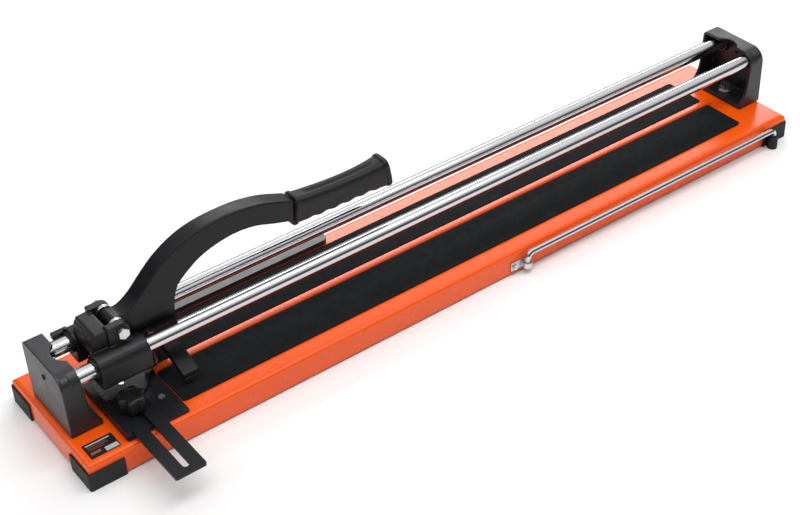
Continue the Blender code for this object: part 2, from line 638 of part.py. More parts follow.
dress(headed_bolt("holder_clamp_screw", 4.5, -3, 2.4, ARM_WIDTH / 2 - half_holder - GAP,
                  (HOLDER_X, CLAMP_SEAT, CLAMP_Z),
                  "y", 20), "zinc", "handle_pivot")


# Breaker foot
def breaker_foot():
    reach = BREAKER_SPAN / 2
    roof = [(-reach, 57), (-reach, 63), (-30, 74), (-12, 82), (-LUG_HALF, 84),
            (-LUG_HALF, BREAKER_PIN_Z + 5),
            (LUG_HALF, BREAKER_PIN_Z + 5), (LUG_HALF, 84), (12, 82), (30, 74), (reach, 63), (reach, 57),
            (30, 66), (0, 73),
            (-30, 66)]
    foot = slab("breaker_foot", [roof], "yz", BREAKER_X - BREAKER_LENGTH / 2, BREAKER_X + BREAKER_LENGTH / 2)
    bevel(foot, 1, 1)
    drill(foot, "foot_bore", BREAKER_PIN_RADIUS + GAP, 40, (BREAKER_X, 0, BREAKER_PIN_Z), "y", 24)
    for tag, side in (("near", -1), ("far", 1)):
        inner, outer = sorted((BREAKER_X + side * 8.5, BREAKER_X + side * 40))
        boolean(foot, box(f"lug_side_{tag}", (inner, -20, 86), (outer, 20, 130), cutter=True))
    dress(foot, "black", "breaker_pivot")
    for tag, side in (("front", -1), ("rear", 1)):
        outline = [(side * 36, 64.2 - GAP), (side * reach, 57 - GAP), (side * reach, 53), (side * 36, 60.2)]
        pad = slab(f"{tag}_breaker_pad", [outline], "yz", BREAKER_X - BREAKER_LENGTH / 2 + 2,
                   BREAKER_X + BREAKER_LENGTH / 2 - 2)
        dress(pad, "rubber", "breaker_pivot")
    dress(rod("breaker_pin", BREAKER_PIN_RADIUS, ARM_WIDTH + 3, (BREAKER_X, 0, BREAKER_PIN_Z), "y", 24),
          "zinc",
          "handle_pivot")


breaker_foot()

# Side fence
PLATE_TOP = DECK + PLATE_THICKNESS
plate = slab("fence_plate", [rounded((PLATE_X[0], PLATE_FRONT), (PLATE_X[1], PLATE_BACK), 4)], "xy", DECK,
             PLATE_TOP)
drill(plate, "pin_hole", 4.4, 20, (DIAL_X, 0, DECK), segments=24)
for tag, place in (("front", PLATE_SCREWS[0]), ("rear", PLATE_SCREWS[1])):
    drill(plate, f"plate_hole_{tag}", 4.8, 20, (*place, DECK), segments=20)
    dress(headed_bolt(f"{tag}_plate_screw", 4.5, PLATE_THICKNESS - 0.1, 2.4, 7, (*place, DECK), "z", 20),
          "zinc", "bench")
dress(plate, "black", "bench")

GUIDE_LOW = PLATE_TOP + GAP
GUIDE_TOP = GUIDE_LOW + DIAL_THICKNESS
BLADE_LOW = GUIDE_TOP + GAP
BLADE_TOP = BLADE_LOW + ARM_THICKNESS
STUD_X = (ARM_BLADE[0] + ARM_BLADE[1]) / 2
guide = rod("fence_guide", DIAL_RADIUS, DIAL_THICKNESS, (DIAL_X, 0, (GUIDE_LOW + GUIDE_TOP) / 2),
            segments=48)
boolean(guide, box("guide_tongue", (ARM_BLADE[0], -96, GUIDE_LOW), (ARM_BLADE[1], -8, GUIDE_TOP),
                   cutter=True), "UNION")
boolean(guide, box("guide_rail", (ARM_BLADE[0] - 9, -96, GUIDE_LOW),
                   (ARM_BLADE[0] - GAP * 2, 16, BLADE_TOP + 2),
                   cutter=True), "UNION")
drill(guide, "guide_pin_hole", 4.4, 20, (DIAL_X, 0, GUIDE_LOW), segments=24)
dress(guide, "black", "fence_pivot")
PIN_SEAT = GUIDE_TOP - 1.2
pin = rod("fence_pivot_pin", 4.1, PIN_SEAT - (BASE_TOP - 6), (DIAL_X, 0, (PIN_SEAT + BASE_TOP - 6) / 2),
          segments=24)
dress(pin, "zinc", "bench")

blade = slab("fence_arm", [rounded((ARM_BLADE[0], ARM_TIP), (ARM_BLADE[1], ARM_HEEL), 3),
                           rounded((STUD_X - SLOT_WIDTH / 2, ARM_TIP + SLOT_END_MARGIN),
                                   (STUD_X + SLOT_WIDTH / 2, ARM_HEEL - SLOT_END_MARGIN),
                                   SLOT_WIDTH / 2 - 0.1)],
             "xy", BLADE_LOW, BLADE_TOP)
dress(bevel(blade, 0.8, 1), "black", "fence_stud_axis")
KNOB_LOW = BLADE_TOP + GAP + WASHER_THICKNESS + GAP
stud = rod("fence_stud", STUD_RADIUS, KNOB_LOW + 8 - GUIDE_TOP - GAP,
           (STUD_X, STUD_Y, (KNOB_LOW + 8 + GUIDE_TOP + GAP) / 2),
           segments=24)
dress(stud, "zinc", "fence_pivot")
dress(ring("fence_washer", STUD_RADIUS + GAP, 12, WASHER_THICKNESS,
           (STUD_X, STUD_Y, BLADE_TOP + GAP + WASHER_THICKNESS / 2), "z", 28), "zinc", "fence_pivot")


def fence_knob():
    """A hand knob with six shallow finger lobes and a blind hole for the stud."""
    lobes = []
    for i in range(72):
        a = 2 * math.pi * i / 72
        reach = KNOB_RADIUS * (0.93 + 0.07 * math.cos(6 * a))
        lobes.append((STUD_X + reach * math.cos(a), STUD_Y + reach * math.sin(a)))
    knob = bevel(slab("fence_knob", [lobes], "xy", KNOB_LOW, KNOB_LOW + KNOB_HEIGHT), 2, 2, 50)
    drill(knob, "knob_bore", STUD_RADIUS + GAP, 2 * (8 + GAP), (STUD_X, STUD_Y, KNOB_LOW), segments=24)
    return dress(knob, "black", "fence_stud_axis")


fence_knob()


# Front swing-out support
def bent_rod(name, points, radius, finish, parent):
    curve = bpy.data.curves.new(name, "CURVE")
    curve.dimensions = "3D"
    curve.bevel_depth = radius * MM
    curve.bevel_resolution = 3
    curve.use_fill_caps = True
    spline = curve.splines.new("POLY")
    spline.points.add(len(points) - 1)
    for point, place in zip(spline.points, points):
        point.co = (*(Vector(place) * MM), 1)
    obj = bpy.data.objects.new(name, curve)
    PARTS.objects.link(obj)
    return dress(obj, finish, parent)


BEND = 9.0
near_turn = [(x, WIRE_PIVOT_Y, z) for x, z in arc((WIRE_PIVOT_X + BEND, WIRE_Z - BEND), BEND, 180, 90, 6)]
far_turn = [(x, WIRE_Y, z) for x, z in arc((WIRE_FOOT_X - BEND, WIRE_Z - BEND), BEND, 90, 0, 6)]
bent_rod("support_wire", [(WIRE_PIVOT_X, WIRE_PIVOT_Y,
                           BRACKET_Z[0] - 1)] + near_turn + far_turn + [(WIRE_FOOT_X, WIRE_Y, 12)],
         WIRE_RADIUS, "chrome", "support_pivot")
sleeve = rod("support_foot", SUPPORT_FOOT_RADIUS, SUPPORT_FOOT_HEIGHT - 2,
             (WIRE_FOOT_X, WIRE_Y, SUPPORT_FOOT_HEIGHT / 2 - 1),
             segments=28)
drill(sleeve, "sleeve_bore", WIRE_RADIUS + GAP, 40, (WIRE_FOOT_X, WIRE_Y, 12 - GAP + 20), segments=24)
dress(sleeve, "rubber", "support_pivot")
BRACKET_FACE = -HALF - GAP
bracket = box("support_bracket", (BRACKET[0], BRACKET_FACE - 2, BRACKET_Z[0]),
              (BRACKET[1], BRACKET_FACE, BRACKET_Z[1] - 4))
boolean(bracket, rod("bracket_lug", WIRE_RADIUS + 3, 8, (WIRE_PIVOT_X, WIRE_PIVOT_Y, BRACKET_Z[0] + 5),
                     segments=28,
                     cutter=True), "UNION")
boolean(bracket, box("bracket_neck", (WIRE_PIVOT_X - 6, WIRE_PIVOT_Y + 1, BRACKET_Z[0] + 1.6),
                     (WIRE_PIVOT_X + 6, BRACKET_FACE - 1, BRACKET_Z[0] + 8.4), cutter=True), "UNION")
drill(bracket, "bracket_bore", WIRE_RADIUS + GAP, 60, (WIRE_PIVOT_X, WIRE_PIVOT_Y, 20), segments=28)
dress(bracket, "zinc", "bench")
dress(rod("bracket_screw", 4, 3, (BRACKET[0] + 7, BRACKET_FACE - 2 - GAP - 1.5, 15), "y", 20), "zinc",
      "bench")

# Rear side rule
rule_end = RULE_X[1] - RULE_WIDTH / 2
rule_outline = (arc((RULE_SCREW_X, RULE_Y), RULE_WIDTH / 2, 90, 270, 10)
                + arc((rule_end, RULE_Y), RULE_WIDTH / 2, -90, 90, 10))
rule = slab("rear_side_rule", [rule_outline], "xy", DECK, DECK + RULE_THICKNESS)
drill(rule, "rule_hole", 3.3, 30, (RULE_SCREW_X, RULE_Y, DECK), segments=24)
dress(rule, "black", "rule_pivot")
dress(headed_bolt("rule_pivot_screw", 6, 3, 3, 11, (RULE_SCREW_X, RULE_Y, DECK + RULE_THICKNESS + GAP), "z",
                  24), "zinc",
      "bench")
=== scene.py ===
"""The look of a two-rail manual tile cutter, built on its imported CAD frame.

Shapes are given in the cutter's bench frame in millimetres: X along the cut from the near end, Y across with 0
on the cutting line, Z up. row() turns them into the frame's metres.
"""

import math

import bmesh
import bpy
from mathutils import Matrix, Vector


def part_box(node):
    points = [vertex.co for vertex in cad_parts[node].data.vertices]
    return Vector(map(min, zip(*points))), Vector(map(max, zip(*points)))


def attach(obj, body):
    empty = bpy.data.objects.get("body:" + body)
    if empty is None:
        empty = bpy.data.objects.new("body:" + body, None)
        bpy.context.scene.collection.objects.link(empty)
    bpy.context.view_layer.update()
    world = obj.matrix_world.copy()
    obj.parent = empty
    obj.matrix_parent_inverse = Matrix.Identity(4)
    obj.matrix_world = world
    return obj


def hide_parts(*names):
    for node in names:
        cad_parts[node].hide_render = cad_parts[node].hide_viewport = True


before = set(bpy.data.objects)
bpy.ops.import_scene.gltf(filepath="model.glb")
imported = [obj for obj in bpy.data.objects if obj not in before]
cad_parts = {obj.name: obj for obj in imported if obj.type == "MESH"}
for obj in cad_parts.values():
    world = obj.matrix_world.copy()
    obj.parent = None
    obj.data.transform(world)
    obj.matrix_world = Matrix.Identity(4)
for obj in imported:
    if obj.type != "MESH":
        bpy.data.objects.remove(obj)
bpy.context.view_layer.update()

# Bench frame to row frame
LENGTH, HALF, TOP = 1240.0, 105.0, 39.6
DECK = 39.9  # underside of what rests on the base
RAIL_Y, RAIL_Z, RAIL_RADIUS = 33.3, 115.6, 11.0
PIVOT = (107, 0, 150)
DIAL_X = 105
_low, _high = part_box("base_plate")
SHIFT = Vector(((_low[0] + _high[0]) / 2 - LENGTH / 2000, (_low[1] + _high[1]) / 2, 0))


def row(x, y, z):
    return Vector((x, y, z)) / 1000 + SHIFT


AXES = {"x": Matrix.Rotation(math.pi / 2, 4, "Y"), "y": Matrix.Rotation(math.pi / 2, 4, "X"),
        "z": Matrix.Identity(4)}
PLANES = {"xy": lambda u, v, w: (u, v, w), "xz": lambda u, v, w: (u, w, v), "yz": lambda u, v, w: (w, u, v)}


# Materials: every one takes its colour, roughness and bump from object-space noise
def surface(name, colour, rough, metallic=0.0, tint=0.10, tint_scale=14, grain_scale=900, grain=0.12,
            grain_depth=0.0002,
            spread=0.08, stretch=(1, 1, 1), coat=0.0, coat_rough=0.12, edge_wear_and_highlight=None, edge_wear_and_highlight_at=0.56, sheen=0.0,
            fleck=None,
            specular=0.5):
    mat = bpy.data.materials.new(name)
    mat.use_nodes = True
    nodes, links = mat.node_tree.nodes, mat.node_tree.links
    shader = nodes["Principled BSDF"]
    shader.inputs["Metallic"].default_value = metallic
    shader.inputs["Coat Weight"].default_value = coat
    shader.inputs["Coat Roughness"].default_value = coat_rough
    shader.inputs["Sheen Weight"].default_value = sheen
    shader.inputs["Specular IOR Level"].default_value = specular
    place = nodes.new("ShaderNodeTexCoord")
    mapping = nodes.new("ShaderNodeMapping")
    mapping.inputs["Scale"].default_value = stretch
    links.new(place.outputs["Object"], mapping.inputs["Vector"])

    def cloud(scale, detail=4, roughness=0.55):
        tex = nodes.new("ShaderNodeTexNoise")
        tex.inputs["Scale"].default_value = scale
        tex.inputs["Detail"].default_value = detail
        tex.inputs["Roughness"].default_value = roughness
        links.new(mapping.outputs["Vector"], tex.inputs["Vector"])
        return tex.outputs["Fac"]

    def mixed(fac, one, two):
        mix = nodes.new("ShaderNodeMix")
        mix.data_type = "RGBA"
        links.new(fac, mix.inputs["Factor"])
        for socket, value in ((mix.inputs[6], one), (mix.inputs[7], two)):
            if isinstance(value, tuple):
                socket.default_value = value
            else:
                links.new(value, socket)
        return mix.outputs[2]

    def ramp(fac, low, high, to=(0.0, 1.0)):
        node = nodes.new("ShaderNodeMapRange")
        node.inputs["From Min"].default_value = low
        node.inputs["From Max"].default_value = high
        node.inputs["To Min"].default_value = to[0]
        node.inputs["To Max"].default_value = to[1]
        links.new(fac, node.inputs["Value"])
        return node.outputs["Result"]

    dark = tuple(c * (1 - tint) for c in colour) + (1,)
    light = tuple(min(1, c * (1 + tint)) for c in colour) + (1,)
    tone = mixed(ramp(cloud(tint_scale), 0.3, 0.7), dark, light)
    fine = cloud(grain_scale, 3, 0.6)
    if fleck:
        tone = mixed(ramp(fine, 0.60, 0.72), tone, (*fleck, 1))
    roughness = ramp(cloud(tint_scale * 3.1), 0.25, 0.75, (max(0.02, rough - spread), rough + spread))
    # Convex edges, found by pointiness and broken up by noise, are mixed towards a lighter colour: painted
    # edge highlight on the black castings, edge wear on the rubber and plastic parts.
    if edge_wear_and_highlight:
        edge = nodes.new("ShaderNodeNewGeometry").outputs["Pointiness"]
        edge_wear_and_highlight_mask = nodes.new("ShaderNodeMath")
        edge_wear_and_highlight_mask.operation = "MULTIPLY"
        links.new(ramp(edge, edge_wear_and_highlight_at, edge_wear_and_highlight_at + 0.10), edge_wear_and_highlight_mask.inputs[0])
        links.new(ramp(cloud(120, 5, 0.7), 0.42, 0.62), edge_wear_and_highlight_mask.inputs[1])
        tone = mixed(edge_wear_and_highlight_mask.outputs[0], tone, (*edge_wear_and_highlight, 1))
    links.new(tone, shader.inputs["Base Color"])
    links.new(roughness, shader.inputs["Roughness"])
    bump = nodes.new("ShaderNodeBump")
    bump.inputs["Strength"].default_value = grain
    bump.inputs["Distance"].default_value = grain_depth
    links.new(fine, bump.inputs["Height"])
    links.new(bump.outputs["Normal"], shader.inputs["Normal"])
    return mat


ORANGE = surface("powder_orange", (0.92, 0.098, 0.001), 0.27, tint=0.02, tint_scale=5, grain_scale=650,
                 grain=0.12,
                 spread=0.015, coat=0.25, coat_rough=0.12, specular=0.40)
MAT_RUBBER = surface("mat_rubber", (0.0055, 0.0068, 0.0085), 0.74, tint=0.25, tint_scale=30,
                     grain_scale=1500, grain=0.45,
                     spread=0.08, fleck=(0.022, 0.025, 0.028), specular=0.16)
BOOT = surface("boot_rubber", (0.009, 0.009, 0.011), 0.60, tint=0.22, tint_scale=40, grain_scale=1300,
               grain=0.35,
               edge_wear_and_highlight=(0.06, 0.06, 0.065), edge_wear_and_highlight_at=0.55, specular=0.35)
RUBBER = surface("plain_rubber", (0.009, 0.009, 0.011), 0.58, tint=0.22, tint_scale=40, grain_scale=1300,
                 grain=0.35,
                 specular=0.35)
GRIP = surface("grip_rubber", (0.0048, 0.0048, 0.0065), 0.46, tint=0.2, tint_scale=35, grain_scale=1600,
               grain=0.35,
               sheen=0.08, edge_wear_and_highlight=(0.05, 0.05, 0.055), edge_wear_and_highlight_at=0.56, specular=0.3)
# Painted sheen: a lighter copy of the black casting finish for the stands, standing in for the grey sheen on
# their faces, with painted edge highlights.
STAND_WITH_PAINTED_SHEEN = surface("satin_black_stand_painted_sheen", (0.013, 0.0135, 0.017), 0.38, tint=0.16, tint_scale=18, grain_scale=850,
                grain=0.35, spread=0.06, edge_wear_and_highlight=(0.12, 0.12, 0.13), edge_wear_and_highlight_at=0.57, specular=0.5)
# Satin black for the handle arm and breaker foot, with painted edge highlights on convex edges.
CASTING = surface("satin_black_casting", (0.0036, 0.0037, 0.0052), 0.34, tint=0.16, tint_scale=18,
                  grain_scale=850,
                  grain=0.32, spread=0.06, edge_wear_and_highlight=(0.09, 0.09, 0.10), edge_wear_and_highlight_at=0.58, specular=0.27)
# Painted sheen: a lighter copy of the black casting finish for the carriage, standing in for the sheen on its
# bridge, with painted edge highlights.
CARRIAGE_WITH_PAINTED_SHEEN = surface("satin_black_carriage_painted_sheen", (0.0060, 0.0063, 0.0080), 0.42, tint=0.16, tint_scale=18,
                   grain_scale=850,
                   grain=0.3, spread=0.06, edge_wear_and_highlight=(0.09, 0.09, 0.10), edge_wear_and_highlight_at=0.58, specular=0.38)
# Painted sheen: the black side rule is given a grey colour standing in for the sheen on its top.
RULE_WITH_PAINTED_SHEEN = surface("black_rule_painted_sheen", (0.030, 0.030, 0.034), 0.33, tint=0.12, tint_scale=22, grain_scale=1000,
               grain=0.2,
               spread=0.04, specular=0.75)
ENGRAVED = surface("engraved_mark", (0.16, 0.16, 0.165), 0.5, tint=0.1, tint_scale=90, grain_scale=1500,
                   grain=0.1)
PRESSED = surface("satin_black_plate", (0.0070, 0.0075, 0.0095), 0.38, tint=0.16, tint_scale=22,
                  grain_scale=1000,
                  grain=0.25, spread=0.06, specular=0.28)
PLASTIC = surface("moulded_plastic", (0.006, 0.006, 0.0075), 0.38, tint=0.15, tint_scale=30,
                  grain_scale=1200, grain=0.3,
                  edge_wear_and_highlight=(0.045, 0.045, 0.05), edge_wear_and_highlight_at=0.56, specular=0.45)
CHROME = surface("rail_chrome", (0.63, 0.63, 0.65), 0.11, 1.0, tint=0.03, tint_scale=9, grain_scale=420,
                 grain=0.02,
                 spread=0.025)
ZINC = surface("zinc_plate", (0.66, 0.66, 0.67), 0.25, 1.0, tint=0.12, tint_scale=120, grain_scale=1400,
               grain=0.18,
               spread=0.08)
BRONZE = surface("sintered_bronze", (0.50, 0.33, 0.16), 0.36, 1.0, tint=0.15, tint_scale=150,
                 grain_scale=2500, grain=0.3)
STEEL = surface("ground_steel", (0.55, 0.55, 0.57), 0.22, 1.0, tint=0.08, tint_scale=90, grain_scale=900,
                grain=0.2,
                stretch=(1, 6, 1))
BLACKENED = surface("blackened_steel", (0.04, 0.04, 0.045), 0.4, 0.8, tint=0.2, tint_scale=200,
                    grain_scale=1500, grain=0.2)
LABEL = surface("label_film", (0.012, 0.012, 0.014), 0.34, tint=0.1, tint_scale=60, grain_scale=1500,
                grain=0.05,
                spread=0.02, specular=0.3)
PRINT = surface("pale_print", (0.45, 0.45, 0.44), 0.4, tint=0.06, tint_scale=80, grain_scale=1500,
                grain=0.05)
WARM_PRINT = surface("warm_print", (0.30, 0.09, 0.04), 0.4, tint=0.06, tint_scale=80, grain_scale=1500,
                     grain=0.05)


# Mesh building
def make(name, bm):
    bmesh.ops.recalc_face_normals(bm, faces=bm.faces)
    mesh = bpy.data.meshes.new(name)
    bm.to_mesh(mesh)
    bm.free()
    obj = bpy.data.objects.new(name, mesh)
    bpy.context.scene.collection.objects.link(obj)
    return obj


def prism(name, outline, plane, low, high):
    """A flat outline (bench mm) pulled from low to high along the plane's normal."""
    bm = bmesh.new()
    ends = [[bm.verts.new(row(*PLANES[plane](u, v, w))) for u, v in outline] for w in (low, high)]
    bm.faces.new(ends[0])
    bm.faces.new(ends[1][::-1])
    for i in range(len(outline)):
        j = (i + 1) % len(outline)
        bm.faces.new((ends[0][i], ends[0][j], ends[1][j], ends[1][i]))
    return make(name, bm)


def turned(name, profile, centre, axis="z", steps=64, loop=False):
    """A (radius, height) profile spun about the axis through the centre. Ends on the axis are closed."""
    bm = bmesh.new()
    matrix = Matrix.Translation(row(*centre)) @ AXES[axis]
    rings = []
    for r, h in profile:
        if r < 1e-6:
            rings.append([bm.verts.new(matrix @ Vector((0, 0, h / 1000)))])
            continue
        rings.append([bm.verts.new(matrix @ Vector((r / 1000 * math.cos(a), r / 1000 * math.sin(a),
                                                    h / 1000)))
                      for a in (2 * math.pi * i / steps for i in range(steps))])
    for one, two in zip(rings, rings[1:] + (rings[:1] if loop else [])):
        for i in range(steps):
            j = (i + 1) % steps
            corners = [one[i % len(one)], one[j % len(one)], two[j % len(two)], two[i % len(two)]]
            bm.faces.new(list(dict.fromkeys(corners)))
    return make(name, bm)


def rod(name, radius, low, high, centre, axis="z", steps=64, edge=0.6):
    profile = [(0, low), (radius - edge, low), (radius, low + edge), (radius, high - edge),
               (radius - edge, high), (0, high)]
    return turned(name, profile, centre, axis, steps)


def arc(centre, radius, start, end, steps=12):
    angles = [math.radians(start + (end - start) * i / steps) for i in range(steps + 1)]
    return [(centre[0] + radius * math.cos(a), centre[1] + radius * math.sin(a)) for a in angles]


def rounded(low, high, radius, steps=8):
    (x0, y0), (x1, y1) = low, high
    corners = [((x1 - radius, y0 + radius), -90), ((x1 - radius, y1 - radius), 0),
               ((x0 + radius, y1 - radius), 90), ((x0 + radius, y0 + radius), 180)]
    return [point for centre, start in corners for point in arc(centre, radius, start, start + 90, steps)]


def smooth(points, steps=8):
    """A Catmull-Rom curve through the points."""
    path = []
    for i in range(len(points) - 1):
        p0, p1, p2, p3 = (Vector(points[max(0, min(len(points) - 1, j))]) for j in (i - 1, i, i + 1, i + 2))
        for s in range(steps):
            t = s / steps
            path.append((2 * p1 + (p2 - p0) * t + (2 * p0 - 5 * p1 + 4 * p2 - p3) * t ** 2
                         + (3 * p1 - p0 - 3 * p2 + p3) * t ** 3) / 2)
    return [tuple(p) for p in path + [Vector(points[-1])]]


def bake(obj):
    """Replaces an object's mesh by what its modifiers make."""
    graph = bpy.context.evaluated_depsgraph_get()
    mesh = bpy.data.meshes.new_from_object(obj.evaluated_get(graph))
    obj.modifiers.clear()
    obj.data = mesh
    return obj


def drop(obj):
    bpy.data.objects.remove(obj, do_unlink=True)


def combine(obj, others, operation):
    for other in others:
        mod = obj.modifiers.new("join", "BOOLEAN")
        mod.operation = operation
        mod.solver = "EXACT"
        mod.object = other
    bake(obj)
    for other in others:
        drop(other)
    return obj


def soften(obj, voxel, rounds):
    """Remeshes a joined casting finely and rounds its edges and corners."""
    mod = obj.modifiers.new("fine", "REMESH")
    mod.mode = "VOXEL"
    mod.voxel_size = voxel / 1000
    if rounds:
        mod = obj.modifiers.new("round", "SMOOTH")
        mod.factor = 0.5
        mod.iterations = rounds
    return bake(obj)


def edged(obj, width, segments=3, angle=35):
    mod = obj.modifiers.new("flat", "DECIMATE")
    mod.decimate_type = "DISSOLVE"
    mod.angle_limit = math.radians(1)
    mod = obj.modifiers.new("edge", "BEVEL")
    mod.width = width / 1000
    mod.segments = segments
    mod.limit_method = "ANGLE"
    mod.angle_limit = math.radians(angle)
    mod.use_clamp_overlap = True
    return obj


def shade(obj, angle=35):
    obj.data.polygons.foreach_set("use_smooth", [True] * len(obj.data.polygons))
    obj.data.set_sharp_from_angle(angle=math.radians(angle))
    return obj


def fit(obj, material, body, slot, *stands_for, angle=35):
    """Puts a finished piece on its body, in place of the CAD nodes that it stands for."""
    obj.data.materials.clear()
    obj.data.materials.append(material)
    shade(obj, angle)
    if stands_for:
        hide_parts(*stands_for)
    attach(obj, body)
    return obj


def keep(node, material, edge=0.0, angle=30):
    """A CAD node that stays, with a real material and rounded edges."""
    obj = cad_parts[node]
    obj.data.materials.clear()
    obj.data.materials.append(material)
    if edge:
        edged(obj, edge, 2, angle)
    mod = obj.modifiers.new("shade", "WEIGHTED_NORMAL")
    mod.keep_sharp = True
    return obj


def lift(node, name):
    """A new object with a copy of a CAD node's mesh."""
    obj = bpy.data.objects.new(name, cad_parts[node].data.copy())
    bpy.context.scene.collection.objects.link(obj)
    return obj


# Base shell: folded sheet with soft bends
def base_shell():
    bm = bmesh.new()
    bmesh.ops.create_cube(bm, size=1)
    low, high = row(0, -HALF, 3.5), row(LENGTH, HALF, TOP)
    bmesh.ops.scale(bm, vec=high - low, verts=bm.verts)
    bmesh.ops.translate(bm, vec=(low + high) / 2, verts=bm.verts)
    bmesh.ops.delete(bm, geom=[f for f in bm.faces if f.normal.z < -0.5], context="FACES")
    folds = [e for e in bm.edges if all(v.co.z > 0.02 for v in e.verts)]
    bmesh.ops.bevel(bm, geom=folds, offset=7.0 / 1000, segments=12, affect="EDGES", profile=0.5)
    shell = make("base_shell", bm)
    mod = shell.modifiers.new("sheet", "SOLIDIFY")
    mod.thickness = 0.002
    mod.offset = -1
    mod.use_even_offset = True
    bake(shell)
    return fit(shell, ORANGE, "base", "orange_enamel", "base_plate", angle=40)


base_shell()


def raised(name, outline, low, high, edge, material, body, slot, *nodes):
    obj = prism(name, outline, "xy", low, high)
    edged(obj, edge, 3)
    bake(obj)
    return fit(obj, material, body, slot, *nodes)


raised("pressed_mark", rounded((1182, -30), (1188, -10), 2.9, 10), TOP - 0.3, TOP + 0.5, 0.35, ORANGE,
       "base", "orange_enamel")
raised("front_bed_mat", rounded((152, -78), (1166, -7.6), 5), 39.9, 42.3, 0.5, MAT_RUBBER, "base",
       "pad_rubber", "front_pad")
raised("rear_bed_mat", rounded((152, 7.6), (1166, 78), 5), 39.9, 42.3, 0.5, MAT_RUBBER, "base",
       "pad_rubber", "rear_pad")
for name, x0, x1, y0, y1, ink in (
        ("print_patch", 33, 50.5, -94.8, -87, PRINT), ("print_line_a", 14, 47, -73.4, -71.2, PRINT),
        ("print_line_b", 14, 40, -76.6, -75.6, WARM_PRINT),
        ("print_line_c", 14, 43, -79.4, -78.6, WARM_PRINT),
        ("print_line_d", 14, 36, -82.2, -81.4, WARM_PRINT),
        ("print_line_e", 14, 28, -90.6, -86.0, WARM_PRINT)):
    fit(prism(name, rounded((x0, y0), (x1, y1), 0.3, 3), "xy", 40.55, 40.64), ink, "base", "label_film")


def graduations():
    """Fine radial marks round the fence's dial, a longer one every fifteen degrees."""
    bm = bmesh.new()
    for degrees in range(100, 261, 5):
        long = degrees % 15 == 10
        a = math.radians(degrees)
        out, across = Vector((math.cos(a), math.sin(a), 0)), Vector((-math.sin(a), math.cos(a), 0))
        r0, r1 = (28.5 if long else 31.5), 35.0
        base = [Vector((DIAL_X, 0, 46.15)) + out * r + across * w for r,
                w in ((r0, -0.28), (r1, -0.28), (r1, 0.28), (r0, 0.28))]
        low = [bm.verts.new(row(*p)) for p in base]
        high = [bm.verts.new(row(p[0], p[1], 46.3)) for p in base]
        bm.faces.new(low[::-1])
        bm.faces.new(high)
        for i in range(4):
            bm.faces.new((low[i], low[(i + 1) % 4], high[(i + 1) % 4], high[i]))
    fit(make("dial_graduations", bm), ENGRAVED, "guide", "black_plate")


graduations()
rib_outline = ([(-7, DECK), (7, DECK), (7, 40.6)] + arc((3.6, 40.2), 3.1, 10, 90, 6)
               + arc((-3.6, 40.2), 3.1, 90, 170, 6) + [(-7, 40.6)])
fit(prism("breaking_rib_strip", rib_outline, "yz", 152, 1174), ORANGE, "base", "orange_enamel",
    "breaking_rib", angle=50)


# Rails and bars
def rail(name, y, node):
    low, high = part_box(node)
    length = (high[0] - low[0]) * 1000
    end = [(0, 0), (9.6, 0), (10.6, 0.35), (RAIL_RADIUS, 1.2)]
    profile = ([(r, h * length / 1221) for r,
                h in end] + [(RAIL_RADIUS, length * part) for part in (60 / 1221, 600 / 1221, 1160 / 1221)]
               + [(r, (1221 - h) * length / 1221) for r, h in reversed(end)])
    start = (low[0] - SHIFT[0]) * 1000
    return fit(turned(name, profile, (start, y, RAIL_Z), "x", 96), CHROME, "base", "rail_chrome", node)


rail("front_guide_rail", -RAIL_Y, "front_rail")
rail("rear_guide_rail", RAIL_Y, "rear_rail")


# End stands: the frame's own castings with their edges rounded
def stand(end):
    obj = lift(f"{end}_stand", f"{end}_stand_casting")
    soften(obj, 0.8, 5)
    fit(obj, STAND_WITH_PAINTED_SHEEN, "base", "black_casting", f"{end}_stand", angle=60)


stand("near")
stand("far")


# Carriage
def carriage():
    body = lift("carriage_body", "carriage_casting")
    hood = prism("hood", smooth([(66, 128), (66.5, 142), (69, 151), (75, 156.5), (84, 157.6)], 5)
                 + [(92, 157.6), (92, 128)], "xz", -25.5, 25.5)
    combine(body, [hood], "UNION")
    soften(body, 0.8, 4)
    fit(body, CARRIAGE_WITH_PAINTED_SHEEN, "carriage", "black_casting", "carriage_body", angle=60)


carriage()


# Handle
def handle():
    arm = lift("handle_arm", "handle_arm_casting")
    soften(arm, 0.9, 34)
    combine(arm, [rod("pivot_clearance", 5.3, -40, 40, PIVOT, "y")], "DIFFERENCE")
    fit(arm, CASTING, "handle", "black_casting", "handle_arm", angle=60)


handle()


